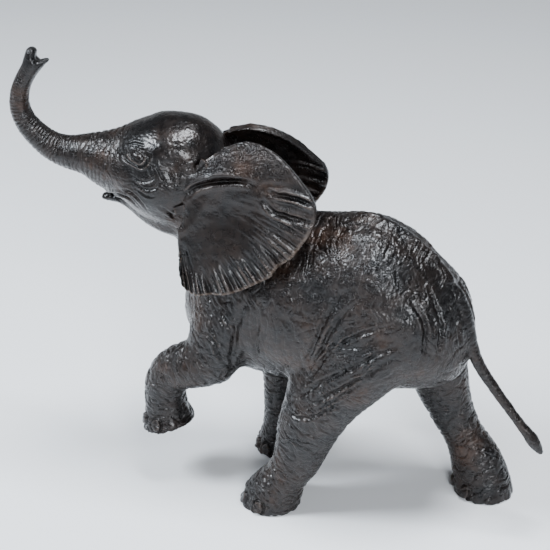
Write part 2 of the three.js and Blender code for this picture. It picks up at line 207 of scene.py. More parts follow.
class Skin:
    """A quad mesh that can be smoothed, split finer and pushed along its normals."""

    def __init__(self, points, quads, owner):
        used = np.unique(quads)
        renumber = np.zeros(len(points), np.int64)
        renumber[used] = np.arange(len(used))
        self.points, self.quads, self.owner = points[used], renumber[quads], owner[used]
        self.link()

    def link(self):
        sides = np.concatenate([self.quads[:, [i, (i + 1) % 4]] for i in range(4)])
        self.sides, self.side_of = np.unique(np.sort(sides, axis=1), axis=0, return_inverse=True)
        start = np.concatenate([self.sides[:, 0], self.sides[:, 1]])
        end = np.concatenate([self.sides[:, 1], self.sides[:, 0]])
        order = np.argsort(start, kind="stable")
        self.end = end[order]
        self.first = np.searchsorted(start[order], np.arange(len(self.points)))
        self.degree = np.bincount(start, minlength=len(self.points))

    def mean_of_neighbours(self, values):
        total = np.add.reduceat(values[self.end], self.first, axis=0)
        return total / (self.degree[:, None] if values.ndim > 1 else self.degree)

    def spread(self, values, rounds):
        for _ in range(rounds):
            values = 0.5 * values + 0.5 * self.mean_of_neighbours(values)
        return values

    def smooth(self, amount, rounds):
        """Lets the surface relax; amount says how much, from 0 to 1, at each point."""
        amount = 0.5 * np.broadcast_to(amount, len(self.points))[:, None]
        for _ in range(rounds):
            self.points += amount * (self.mean_of_neighbours(self.points) - self.points)

    def settle_owners(self, rounds):
        """Straightens the lines between castings and clears away islands."""
        shares = [self.spread((self.owner == k).astype(float), rounds)
                  for k in range(len(SKIN_CASTINGS))]
        self.owner = np.argmax(shares, axis=0)

    def split(self):
        """Every quad becomes four."""
        count, edges, faces = len(self.points), len(self.sides), len(self.quads)
        middles = self.points[self.sides].mean(axis=1)
        centres = self.points[self.quads].mean(axis=1)
        side = self.side_of.reshape(4, faces) + count
        centre = np.arange(faces) + count + edges
        quads = [np.stack([self.quads[:, k], side[k], centre, side[k - 1]], axis=1)
                 for k in range(4)]
        self.owner = np.concatenate(
            [self.owner, self.owner[self.sides[:, 0]], self.owner[self.quads[:, 0]]])
        self.points = np.concatenate([self.points, middles, centres])
        self.quads = np.concatenate(quads)
        self.link()

    def normals(self):
        a, b, c, d = (self.points[self.quads[:, k]] for k in range(4))
        face = np.cross(c - a, d - b)
        total = [np.bincount(self.quads.ravel(), np.repeat(face[:, k], 4), len(self.points))
                 for k in range(3)]
        return unit(np.stack(total, 1))

    def push(self, height):
        self.points = self.points + self.normals() * height[:, None]

    def wear(self):
        """How far each point stands above its surroundings: 1 on an edge, -1 in a crease."""
        around = self.points
        for _ in range(6):
            around = self.mean_of_neighbours(around)
        stands = ((self.points - around) * self.normals()).sum(axis=1)
        return np.clip(stands / WORN_HEIGHT, -1, 1)


# ---- places on the animal -------------------------------------------------------------

def body_frame(points):
    return points - BODY_ORIGIN


def turned(points, angle, pivot):
    x, y = (points[:, :2] - pivot[:2]).T
    c, s = math.cos(angle), math.sin(angle)
    return np.stack([x * c - y * s + pivot[0], x * s + y * c + pivot[1], points[:, 2]], axis=1)


def head_frame(points):
    """Places as if the head looked straight ahead."""
    return turned(body_frame(points), -HEAD_TURN, HEAD_PIVOT)


def from_head_frame(points):
    return turned(points, HEAD_TURN, HEAD_PIVOT) + BODY_ORIGIN


def curve(route, spacing=0.6):
    """Points close together along a smooth curve through a few places."""
    route = np.array(route, float)
    ends = np.concatenate([2 * route[:1] - route[1:2], route, 2 * route[-1:] - route[-2:-1]])
    line = []
    for a, b, c, d in zip(ends, ends[1:], ends[2:], ends[3:]):
        count = max(int(np.linalg.norm(c - b) / spacing), 2)
        t = np.linspace(0, 1, count, endpoint=False)[:, None]
        line.append(0.5 * (2 * b + (c - a) * t + (2 * a - 5 * b + 4 * c - d) * t ** 2
                           + (3 * b - a - 3 * c + d) * t ** 3))
    return np.concatenate(line + [route[-1:]])


def along(places, line):
    """Arc length along a line of points, and the distance from it, at each place."""
    lengths = np.concatenate([[0], np.cumsum(np.linalg.norm(np.diff(line, axis=0), axis=1))])
    best = np.full(len(places), np.inf)
    at = np.zeros(len(places))
    for k in range(len(line) - 1):
        start, side = line[k], line[k + 1] - line[k]
        t = np.clip((places - start) @ side / (side @ side), 0, 1)
        away = np.linalg.norm(places - start - t[:, None] * side, axis=1)
        closer = away < best
        best[closer] = away[closer]
        at[closer] = lengths[k] + t[closer] * (lengths[k + 1] - lengths[k])
    return at, best, lengths[-1]


def fold(places, route, depth, width, lip=0.35, wobble=0.8):
    """A groove along a route, laid down on the surface, deepest midway, with a soft lip on
    each side. A negative depth makes it a ridge."""
    line = curve(route)
    reach = 4 * width + 12
    low, high = line.min(0) - reach, line.max(0) + reach
    near = np.nonzero(np.all((places > low) & (places < high), axis=1))[0]
    height = np.zeros(len(places))
    if not len(near):
        return height
    local = places[near]
    line = np.array([local[np.argmin(((local - p) ** 2).sum(1))] for p in line[::3]])
    before = line[[0, *range(len(line) - 1)]]
    after = line[[*range(1, len(line)), -1]]
    line = 0.25 * before + 0.5 * line + 0.25 * after
    shifted = local + wobble * np.stack([noise(local / 5.0, 7 + k) for k in range(3)], axis=1)
    at, away, length = along(shifted, line)
    taper = np.sin(np.pi * np.clip(at / length * 0.96 + 0.02, 0, 1)) ** 0.7
    groove = np.exp(-(away / width) ** 2) - lip * np.exp(-((away - 2 * width) / width) ** 2)
    height[near] = -depth * taper * groove
    return height


def both_sides(route):
    return [route, [(x, -y, z) for x, y, z in route]]


def mound(places, centre, radius, height):
    return height * np.exp(-((places - np.array(centre)) ** 2).sum(1) / radius ** 2)


# ---- materials ------------------------------------------------------------------------

def new_material(name):
    material = bpy.data.materials.new(name)
    material.use_nodes = True
    return material, material.node_tree.nodes, material.node_tree.links


def add(nodes, kind, **settings):
    node = nodes.new(kind)
    for key, value in settings.items():
        if key in node.inputs:
            node.inputs[key].default_value = value
        else:
            setattr(node, key, value)
    return node


def ramp(nodes, links, source, stops):
    node = nodes.new("ShaderNodeValToRGB")
    elements = node.color_ramp.elements
    while len(elements) < len(stops):
        elements.new(0.5)
    for element, (place, colour) in zip(elements, stops):
        element.position = place
        element.color = (*colour, 1)
    links.new(source, node.inputs["Fac"])
    return node.outputs["Color"]


def mix_colour(nodes, links, share, first, second, blend="MIX"):
    node = nodes.new("ShaderNodeMix")
    node.data_type = "RGBA"
    node.blend_type = blend
    for value, socket in zip((share, first, second), (node.inputs[k] for k in (0, 6, 7))):
        if isinstance(value, bpy.types.NodeSocket):
            links.new(value, socket)
        elif isinstance(value, tuple):
            socket.default_value = (*value, 1)
        else:
            socket.default_value = value
    return node.outputs[2]


def bronze(name):
    """Near-black patina over warm brown, thin on the high places, with a coat of wax. On the ears'
    upper rims the lighter colour is partly a painted highlight.
    """
    material, nodes, links = new_material(name)
    shader = nodes["Principled BSDF"]
    place = nodes.new("ShaderNodeTexCoord").outputs["Object"]
    broad = add(nodes, "ShaderNodeTexNoise", Scale=26.0, Detail=4.0, Roughness=0.6)
    mottle = add(nodes, "ShaderNodeTexNoise", Scale=150.0, Detail=5.0, Roughness=0.65)
    grain = add(nodes, "ShaderNodeTexNoise", Scale=900.0, Detail=3.0, Roughness=0.6)
    cells = add(nodes, "ShaderNodeTexVoronoi", feature="DISTANCE_TO_EDGE", Scale=620.0)
    for texture in (broad, mottle, grain, cells):
        links.new(place, texture.inputs["Vector"])
    wear = add(nodes, "ShaderNodeAttribute", attribute_name="wear").outputs["Fac"]
    high = ramp(nodes, links, wear, [(0.25, (0, 0, 0)), (0.50, (1, 1, 1))])
    # Lighter brown where the bronze is rubbed on its high edges. On the ears' upper rims the same
    # colour is also a painted highlight.
    edge = ramp(nodes, links, wear, [(0.55, (0, 0, 0)), (0.95, (1, 1, 1))])
    coarse = add(nodes, "ShaderNodeAttribute", attribute_name="grain").outputs["Fac"]
    dark = ramp(nodes, links, broad.outputs["Fac"],
                [(0.40, (0.0055, 0.0050, 0.0054)), (0.58, (0.013, 0.0088, 0.0072)),
                 (0.74, (0.034, 0.018, 0.011))])
    flecked = ramp(nodes, links, mottle.outputs["Fac"],
                   [(0.35, (0.55, 0.55, 0.6)), (0.65, (1.35, 1.2, 1.1))])
    colour = mix_colour(nodes, links, 1.0, dark, flecked, "MULTIPLY")
    colour = mix_colour(nodes, links, high, colour, (0.036, 0.025, 0.020))
    colour = mix_colour(nodes, links, edge, colour, (0.15, 0.11, 0.085))
    links.new(colour, shader.inputs["Base Color"])
    shine = ramp(nodes, links, mottle.outputs["Fac"], [(0.3, (0.20,) * 3), (0.7, (0.38,) * 3)])
    links.new(shine, shader.inputs["Roughness"])
    shader.inputs["Metallic"].default_value = 0.5
    shader.inputs["Specular IOR Level"].default_value = 0.5
    shader.inputs["Coat Weight"].default_value = 0.25
    shader.inputs["Coat Roughness"].default_value = 0.12
    shader.inputs["Coat IOR"].default_value = 1.45
    total = add(nodes, "ShaderNodeMath", operation="ADD")
    pits = ramp(nodes, links, cells.outputs["Distance"], [(0.0, (0, 0, 0)), (0.16, (1, 1, 1))])
    links.new(grain.outputs["Fac"], total.inputs[0])
    links.new(pits, total.inputs[1])
    depth = add(nodes, "ShaderNodeMath", operation="MULTIPLY")
    links.new(total.outputs[0], depth.inputs[0])
    links.new(coarse, depth.inputs[1])
    bump = add(nodes, "ShaderNodeBump", Strength=0.42, Distance=0.0003)
    links.new(depth.outputs[0], bump.inputs["Height"])
    links.new(bump.outputs["Normal"], shader.inputs["Normal"])
    return material


def bare_bronze(name):
    """Sawn and filed metal inside, golden with dull brown stains."""
    material, nodes, links = new_material(name)
    shader = nodes["Principled BSDF"]
    place = nodes.new("ShaderNodeTexCoord").outputs["Object"]
    stain = add(nodes, "ShaderNodeTexNoise", Scale=180.0, Detail=5.0)
    scratch = add(nodes, "ShaderNodeTexNoise", Scale=1600.0, Detail=2.0)
    links.new(place, stain.inputs["Vector"])
    links.new(place, scratch.inputs["Vector"])
    colour = ramp(nodes, links, stain.outputs["Fac"],
                  [(0.35, (0.20, 0.11, 0.045)), (0.65, (0.52, 0.36, 0.18))])
    links.new(colour, shader.inputs["Base Color"])
    rough = ramp(nodes, links, scratch.outputs["Fac"], [(0.3, (0.32,) * 3), (0.7, (0.55,) * 3)])
    links.new(rough, shader.inputs["Roughness"])
    shader.inputs["Metallic"].default_value = 0.9
    bump = add(nodes, "ShaderNodeBump", Strength=0.3, Distance=0.0001)
    links.new(scratch.outputs["Fac"], bump.inputs["Height"])
    links.new(bump.outputs["Normal"], shader.inputs["Normal"])
    return material


# ---- sculpting ------------------------------------------------------------------------

TRUNK_AXIS = [(-100, 0, 245), (-123, 0, 249.5), (-147, 0, 251.8), (-159, 0, 256), (-170, 0, 265),
              (-178, 0, 276), (-180.5, 0, 288.5), (-177.5, 0, 301), (-172, 0, 311), (-163, 0, 325)]
LIMBS = {
    "foreleg_left": [(-18, -30, 160), (-26, -36, 118), (-34, -38, 104), (-50, -39, 98),
                     (-64, -39.5, 88), (-69.5, -40, 70), (-66, -40, 46)],
    "foreleg_right": [(-14, 28, 152), (-7, 28, 98), (-4, 28, 50), (-6, 26, 0)],
    "hindleg_left": [(96, -24, 164), (71, -35, 112), (47, -40, 71), (35, -41, 34), (18, -43, 0)],
    "hindleg_right": [(108, 24, 164), (114, 34, 106), (125, 38, 68), (146, 37, 36), (159, 35, 0)],
}
SPINE = [(60, 0, 228), (83, 0, 229), (99.5, 0, 223), (111, 0, 214), (122, 0, 203),
         (131, 0, 192.5), (138, 0, 182), (143, 0, 172), (147, 0, 158)]
# centre of the sole, radius, and how many degrees each nail stands off straight ahead
FEET = [((-66, -40, 46), 21, (82, 38, -6, -50)),
        ((-6, 26, 0), 19, (78, 35, -8, -52)),
        ((18, -43, 0), 22.5, (86, 36, -14, -62)),
        ((159, 35, 0), 22.5, (62, 14, -36, -84))]
EYE = (-90, -31, 262.5)
EYE_AXIS = (0.90, -0.36, -0.24)


def wrinkles(places, across, spacing, length, seed):
    """Creases that repeat in one direction and run on in the others."""
    across = np.array(across, float)
    across = across / np.linalg.norm(across)
    c = places @ across
    rest = places - c[:, None] * across
    bend = noise(places / 9.0, seed + 50) * 1.6
    cells = rest / length
    cells = cells + np.outer(c / spacing + bend, across) + seed * 3.7
    return ridged(cells, seed)


def rings_round(places, at, spacing, length, seed):
    """Creases that ring a limb, where at is how far down the limb a place is."""
    cells = places / length
    cells[:, 2] = at / spacing + 1.2 * noise(places / 8.0, seed + 9)
    return ridged(cells, seed)


def near_line(places, line, reach):
    """Numbers of the places in the box of a line, widened by reach."""
    line = np.array(line, float)
    inside = (places > line.min(0) - reach) & (places < line.max(0) + reach)
    return np.nonzero(inside.all(axis=1))[0]


def forms(body, head):
    """The broad shapes: bones, muscles and hollows."""
    height = np.zeros(len(body))
    for side in (-1, 1):
        for x, y, z, radius, rise in [
                (92, 34, 198, 17, 2.4), (60, 44, 180, 15, -2.6), (122, 27, 196, 13, -1.5),
                (-12, 46, 150, 20, 2.0), (9, 46, 146, 10, -2.4), (88, 50, 138, 24, 1.6),
                (126, 33, 165, 13, 2.2), (26, 48, 130, 22, 2.4), (50, 46, 118, 8, -2.5),
                (14, 36, 196, 18, -1.8), (-40, 30, 140, 12, 1.5)]:
            height += mound(body, (x, side * y, z), radius, rise)
        for x, y, z, radius, rise in [
                (-79, 34, 238, 12, 2.0), (-66, 34, 258, 9, -2.2), (-95, 22, 269, 7, 1.6),
                (-108, 18, 262, 9, -1.2), (-70, 28, 270, 10, 1.2), (-61, 30, 219, 6, -2.0),
                (-100, 27, 245, 9, 1.2), (-169, 3, 326, 4, 1.0)]:
            height += mound(head, (x, side * y, z), radius, rise)
    return height


def sculpt_folds(body, head):
    """The folds that can be told apart, each with its own place."""
    height = np.zeros(len(body))

    def crease(places, route, depth, width, **more):
        for line in both_sides(route):
            height[:] += fold(places, line, depth, width, **more)

    crease(body, [(73, -43, 189), (65, -48, 174), (57, -50, 154), (46, -46, 122)], 1.6, 1.8)
    crease(body, [(86, -44, 185), (72, -49, 169), (61, -49, 146), (50, -48, 122)], 1.4, 1.6)
    crease(body, [(76, -46, 162), (64, -50, 140), (54, -50, 118)], 1.4, 1.3)
    crease(body, [(110, -44, 171), (80, -49, 155), (60, -50, 131)], 1.3, 1.5)
    crease(body, [(115, -45, 157), (89, -53, 140), (53, -55, 112), (35, -52, 93)], 1.7, 1.6)
    crease(body, [(109, -48, 145), (83, -56, 124), (47, -57, 95)], 1.5, 1.5)
    crease(body, [(98, -50, 134), (80, -57, 116), (58, -58, 96)], 1.1, 1.3)
    crease(body, [(33, -52, 88), (48, -57, 88), (63, -58, 96), (80, -56, 111)], 1.5, 1.4)
    crease(body, [(2, -47, 168), (-4, -48, 151), (-9, -49, 126), (-11, -47, 110)], 2.1, 2.5)
    crease(body, [(13, -47, 170), (9, -48, 146), (8, -42, 118)], 1.1, 1.9)
    crease(body, [(118, -33, 186), (129, -37, 168), (128, -40, 138)], 1.7, 1.8)
    crease(body, [(125, -22, 190), (136, -27, 172), (138, -36, 146)], 1.9, 1.8)
    crease(body, [(137, -12, 181), (144, -14, 166), (147, -16, 148)], 2.2, 1.8)
    crease(body, [(-39, -40, 156), (-30, -46, 148), (-22, -50, 136)], 1.2, 1.3)
    crease(body, [(-25, -44, 161), (-16, -47, 151), (-8, -48, 138)], 1.2, 1.3)
    crease(body, [(-34, -38, 165), (-22, -46, 154), (-14, -50, 142)], 1.0, 1.2)
    crease(body, [(-29, -51, 138), (-20, -53, 126), (-14, -51, 112)], 1.5, 1.4)
    crease(body, [(-8, -20, 231), (8, -30, 212), (16, -40, 190)], 1.2, 1.6)

    crease(head, [(-122, -4, 222), (-112, -17, 228), (-104, -25, 233), (-96, -30, 232),
                  (-93, -30, 226)], 2.2, 1.3, lip=0.5, wobble=0.3)
    crease(head, [(-104, -23, 238), (-96, -30, 239), (-88, -34, 234), (-84, -33, 224)],
           1.2, 1.1, wobble=0.4)
    crease(head, [(-95, -33, 252), (-88, -36, 248), (-80, -37, 249), (-75, -36, 253)],
           0.9, 0.8, wobble=0.3)
    crease(head, [(-93, -34, 248), (-85, -37, 243), (-77, -38, 244), (-72, -37, 249)],
           0.9, 0.9, wobble=0.3)
    crease(head, [(-90, -34, 243), (-82, -37, 238), (-74, -37, 239)], 0.7, 0.9, wobble=0.3)
    crease(head, [(-100, -24, 268), (-93, -24, 271.5), (-84, -28, 271)], 0.8, 0.9, wobble=0.3)
    crease(head, [(-78, -36, 262), (-73, -36, 256), (-71, -37, 249)], 0.8, 0.9, wobble=0.3)
    crease(head, [(-74, -34, 232), (-68, -31, 225), (-64, -28, 217)], 1.0, 1.2)
    crease(head, [(-62, -33, 258), (-53, -32, 262), (-44, -28, 266)], -0.8, 2.4, lip=0.2)
    return height


def spine(body):
    """The knobbly ridge of the back over the rump, with a hollow on each side."""
    near = near_line(body, SPINE, 24)
    at, away, length = along(body[near], curve(SPINE, 4.0))
    ends = step(0, 14, at) * (1 - step(length - 8, length, at))
    lumps = 1 + 0.25 * np.sin(at / 2.6)
    height = np.zeros(len(body))
    height[near] = ends * (2.6 * np.exp(-(away / 3.6) ** 1.5) * lumps
                           - 1.4 * np.exp(-((away - 11) / 5) ** 2))
    return height


def eye(head, side):
    """A ball between two lids, the upper one heavy, with a crease above it."""
    centre = np.array(EYE) * (1, -side, 1)
    long_axis = np.array(EYE_AXIS) * (1, -side, 1)
    outward = unit(np.array([-0.30, -side * 0.90, 0.30])[None])[0]
    long_axis = unit((long_axis - (long_axis @ outward) * outward)[None])[0]
    up = np.cross(long_axis, outward) * side
    offset = head - centre
    u, v, w = offset @ long_axis, offset @ up, offset @ outward
    v = v + 0.05 * u * np.abs(u)
    ring = np.sqrt((u / 4.4) ** 2 + (v / 2.6) ** 2)
    ball = np.where(ring < 0.95, -1.6 + 2.7 * np.sqrt(np.clip(1 - (ring / 0.95) ** 2, 0, 1)), 0)
    above = 0.5 + 0.5 * np.tanh(v / 1.5)
    lids = (0.5 + 0.9 * above) * np.exp(-((ring - 1.22) / 0.22) ** 2)
    lids -= (0.2 + 1.0 * above) * np.exp(-((ring - 1.72) / 0.20) ** 2)
    lids += 0.5 * above * np.exp(-((ring - 2.15) / 0.25) ** 2)
    return (ball + lids) * (np.abs(w) < 9) * (1 - step(2.4, 3.2, ring))


def nails(body):
    """Round plates at the front of each sole, set off by a groove."""
    height = np.zeros(len(body))
    for centre, radius, angles in FEET:
        x, y, z = (body - np.array(centre)).T
        turn = np.degrees(np.arctan2(-y, -x))
        near = (np.hypot(x, y) < radius * 1.4) & (z < 18) & (z > -2)
        for angle in angles:
            a = np.radians((turn - angle + 180) % 360 - 180) * radius
            ring = np.sqrt((a / 4.6) ** 2 + ((z - 6.2) / 4.9) ** 2)
            plate = 1.4 * (1 - step(0.75, 1.0, ring)) - 1.2 * np.exp(-((ring - 1.16) / 0.16) ** 2)
            height += near * plate
    return height


def trunk_rings(head, owner):
    """Creases round the trunk, closer together and shallower toward the tip."""
    near = near_line(head, TRUNK_AXIS, 24)
    local, owner = head[near], owner[near]
    at, away, length = along(local, curve(TRUNK_AXIS, 3.0))
    share = np.clip(at / length, 0, 1)
    phase = at / (4.4 - 1.9 * share) + 0.5 * noise(local / 6.0, 3)
    valley = np.abs((phase % 1) - 0.5) * 2
    depth = (1.15 - 0.7 * share) * step(2, 16, at) * (1 - step(length - 12, length - 5, at))
    patches = np.stack([phase * 0.45, local[:, 1] / 9, local[:, 2] / 40], axis=1)
    strength = np.clip(0.65 + 0.6 * noise(patches, 4), 0, 1.3)
    on_trunk = (owner == TRUNK) | (local[:, 0] < -104)
    on_trunk = on_trunk & (local[:, 2] > 225) & (owner != JAW)
    height = np.zeros(len(head))
    height[near] = -depth * strength * (1 - step(0.0, 0.5, valley)) * on_trunk
    return height


def skin_grain(skin, body, head):
    """Wrinkles everywhere, each part of the body with its own direction."""
    owner = skin.owner
    x, y, z = body.T
    limbs = np.zeros(len(body))
    height = np.zeros(len(body))
    for number, (name, line) in enumerate(LIMBS.items()):
        near = near_line(body, line, 36)
        local = body[near]
        at, away, _ = along(local, curve(line, 8.0))
        side = step(0, 10, local[:, 1] * np.sign(line[0][1]))
        low_down = (1 - step(112, 135, local[:, 2])) * (local[:, 2] < 140)
        here = (owner[near] == SKIN_CASTINGS.index(name)).astype(float)
        here = np.maximum(here, (1 - step(24, 34, away)) * side * low_down)
        here = here * (1 - limbs[near])
        limbs[near] = np.maximum(limbs[near], here)
        rings = rings_round(local, at, 2.9, 8.0, 20 + number) ** 1.5
        fine = rings_round(local, at, 1.6, 4.0, 30 + number)
        height[near] -= here * (0.9 * rings + 0.34 * fine)
    is_head = np.isin(owner, (HEAD, TRUNK, JAW))
    flank = (1 - limbs) * (~is_head) * (owner != TAIL)
    smooth_belly = 1 - 0.75 * np.exp(-(((x - 27) / 24) ** 2 + ((z - 132) / 26) ** 2)) * (y < 0)
    thigh = np.exp(-(((x - 82) / 34) ** 2 + ((z - 135) / 34) ** 2))
    shoulder = np.exp(-(((x + 28) / 22) ** 2 + ((z - 145) / 32) ** 2))
    back = step(165, 195, z)
    plain = np.clip(1 - thigh - shoulder, 0, 1)
    height -= flank * thigh * (1.1 * wrinkles(body, (-0.54, 0, 0.84), 4.2, 17, 1) ** 1.5
                               + 0.5 * wrinkles(body, (-0.3, 0, 0.95), 2.0, 8, 2))
    height -= flank * shoulder * (1.0 * wrinkles(body, (0.74, 0, 0.67), 3.3, 13, 3) ** 1.5
                                  + 0.35 * wrinkles(body, (0.9, 0, 0.3), 1.8, 5, 4))
    height -= flank * plain * smooth_belly * (
        0.75 * wrinkles(body, (1, 0, 0.15), 3.1, 15, 5) ** 1.5
        + 0.26 * wrinkles(body, (1, 0, -0.2), 1.7, 5, 6)
        + 0.18 * back * wrinkles(body, (0.2, 0, 1), 2.4, 6, 7))
    fine = 0.16 * wrinkles(head, (0.2, 0, 1), 1.9, 5, 8)
    fine += 0.14 * wrinkles(head, (1, 0, 0.4), 1.7, 4, 9)
    cheek = np.exp(-(((head[:, 0] + 76) / 11) ** 2 + ((head[:, 2] - 230) / 14) ** 2))
    temple = np.exp(-(((head[:, 0] + 70) / 16) ** 2 + ((head[:, 2] - 252) / 16) ** 2))
    fine += 0.4 * temple * wrinkles(head, (0.4, 0, 1), 2.6, 7, 10)
    beside_eye = np.exp(-((head[:, 0] - EYE[0]) ** 2 + (head[:, 2] - EYE[2]) ** 2) / 60)
    crown = step(258, 270, head[:, 2]) * step(-100, -85, head[:, 0])
    fine *= (1 - 0.6 * cheek) * (1 - 0.8 * beside_eye) * (1 - 0.6 * crown)
    height -= is_head * fine * (head[:, 0] > -130)
    height -= (owner == TAIL) * 0.28 * wrinkles(body, (0.6, 0, -0.8), 1.7, 5, 11)
    height += 0.10 * noise(body / 1.3, 12) + 0.14 * noise(body / 4.0, 13) * (1 - 0.5 * is_head)
    return height


def skin_coarseness(skin):
    """How deep the fine grain is: shallow on the belly, the cheeks and the crown."""
    body, head = body_frame(skin.points), head_frame(skin.points)
    belly = np.exp(-(((body[:, 0] - 27) / 22) ** 2 + ((body[:, 2] - 130) / 24) ** 2))
    cheek = np.exp(-(((head[:, 0] + 76) / 13) ** 2 + ((head[:, 2] - 230) / 15) ** 2))
    is_head = np.isin(skin.owner, (HEAD, JAW))
    crown = step(255, 268, head[:, 2]) * step(-100, -85, head[:, 0])
    return 1 - 0.65 * belly * ~is_head - (0.2 + 0.6 * np.maximum(cheek, crown)) * is_head


def sculpted_skin():
    skin = Skin(*fused_skin())
    skin.settle_owners(OWNER_ROUNDS)
    softness = np.array(list(SOFTNESS.values()))[skin.owner]
    body = body_frame(skin.points)
    hard_edge = np.ones(len(body))
    for centre, radius, _ in FEET:
        x, y, z = (body - np.array(centre)).T
        hard_edge *= 1 - 0.8 * (1 - step(3, 9, z)) * (np.hypot(x, y) < 2 * radius)
    softness = skin.spread(softness * hard_edge, 25)
    skin.smooth(softness, SMOOTHING_ROUNDS)
    tail = skin.spread((skin.owner == TAIL).astype(float), 10)
    jaw = skin.spread((skin.owner == JAW).astype(float), 10)
    skin.push(0.30 * softness + 0.05 + TAIL_FILL * tail + JAW_FILL * jaw)
    head, body = head_frame(skin.points), body_frame(skin.points)
    skin.push(forms(body, head) + spine(body))
    skin.smooth(0.3, 3)
    skin.split()
    skin.smooth(0.6, 3)
    head, body = head_frame(skin.points), body_frame(skin.points)
    shape = sculpt_folds(body, head) + nails(body) + eye(head, -1) + eye(head, 1)
    skin.push(shape + trunk_rings(head, skin.owner) + skin_grain(skin, body, head))
    skin.smooth(0.35, 1)
    skin.points[:, 2] = np.maximum(skin.points[:, 2], 0.0)
    return skin


# ---- pieces ---------------------------------------------------------------------------

def end_caps(faces, points):
    """Triangles that cap the open ends of one casting, and the points with their centres."""
    sides = np.concatenate([faces[:, [i, (i + 1) % 4]] for i in range(4)])
    code = sides[:, 0] * len(points) + sides[:, 1]
    reverse = sides[:, 1] * len(points) + sides[:, 0]
    edge = sides[~np.isin(code, reverse)]
    group = {v: v for v in edge.ravel().tolist()}

    def root(v):
        while group[v] != v:
            group[v] = group[group[v]]
            v = group[v]
        return v

    for a, b in edge.tolist():
        group[root(a)] = root(b)
    roots = np.array([root(a) for a in edge[:, 0].tolist()], int)
    triangles, extra = [], []
    for k in np.unique(roots):
        ring = edge[roots == k]
        triangles += [(b, a, len(points) + len(extra)) for a, b in ring.tolist()]
        extra.append(points[np.unique(ring)].mean(axis=0))
    if extra:
        points = np.concatenate([points, np.array(extra)])
    return np.array(triangles, int).reshape(-1, 3), points


def make_piece(name, points, quads, triangles, normals, finish, material):
    used = np.unique(np.concatenate([quads.ravel(), triangles.ravel()]))
    renumber = np.zeros(len(points), np.int64)
    renumber[used] = np.arange(len(used))
    corners = np.concatenate([renumber[quads].ravel(), renumber[triangles].ravel()])
    starts = np.concatenate([np.arange(len(quads)) * 4,
                             len(quads) * 4 + np.arange(len(triangles)) * 3])
    mesh = bpy.data.meshes.new(name)
    mesh.vertices.add(len(used))
    mesh.vertices.foreach_set("co", (points[used] * MM).astype(np.float32).ravel())
    mesh.loops.add(len(corners))
    mesh.loops.foreach_set("vertex_index", corners.astype(np.int32))
    mesh.polygons.add(len(starts))
    mesh.polygons.foreach_set("loop_start", starts.astype(np.int32))
    mesh.polygons.foreach_set("use_smooth", np.ones(len(starts), bool))
    mesh.update(calc_edges=True)
    mesh.validate()
    mesh.materials.append(material)
    for key, values in zip(("wear", "grain"), finish.T):
        attribute = mesh.attributes.new(key, "FLOAT", "POINT")
        attribute.data.foreach_set("value", values[used].astype(np.float32))
    mesh.normals_split_custom_set_from_vertices(normals[used].tolist())
    piece = bpy.data.objects.new(name, mesh)
    bpy.context.scene.collection.objects.link(piece)
    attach(piece, "root")
    return piece


def skin_pieces(material):
    skin = sculpted_skin()
    normals = skin.normals()
    finish = np.stack([0.5 * skin.wear(), skin_coarseness(skin)], axis=1)
    face_owner = skin.owner[skin.quads[:, 0]]
    for index, node in enumerate(SKIN_CASTINGS):
        quads = skin.quads[face_owner == index]
        triangles, points = end_caps(quads, skin.points)
        extra = len(points) - len(normals)
        piece = make_piece("skin_" + node, points, quads, triangles,
                           np.concatenate([normals, np.tile([0.0, 0.0, 1.0], (extra, 1))]),
                           np.concatenate([finish, np.zeros((extra, 2))]), material)
        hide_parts(node, *(PLUGS if node == "torso" else []))


# ---- ears -----------------------------------------------------------------------------

# Where the left ear joins the skull, from crown to cheek, and its free edge, in the head's
# frame. The right ear is the mirror image, swept back and dropped a little.
EAR_ROOT = [(-41, -30, 262), (-52, -36, 252), (-57, -38, 240), (-59, -38, 226), (-60, -36, 214)]
EAR_RIM = [(-31, -25, 271.5), (-13, -24, 276.5), (6, -30, 271.5), (23, -39, 258), (36, -47, 240),
           (31, -51, 218.5), (13, -53.5, 197), (-13, -54, 180), (-40, -53, 171),
           (-57, -49, 177), (-57, -43, 196), (-60, -38, 211)]
EAR_SWEEP, EAR_DROP, EAR_HOLLOW = math.radians(11), 4.0, 2.5
EAR_ROOT_THICKNESS, EAR_RIM_THICKNESS = 7.6, 2.6
EAR_ROWS, EAR_COLUMNS = 130, 420
EAR_INSET = 0.10                 # how far the root runs on into the head, of the ear's depth
EAR_INSET_START = -0.06


def even(line, shares):
    """Places on a line of points at shares of its length."""
    lengths = np.concatenate([[0], np.cumsum(np.linalg.norm(np.diff(line, axis=0), axis=1))])
    return np.stack([np.interp(shares * lengths[-1], lengths, line[:, k]) for k in range(3)], 1)


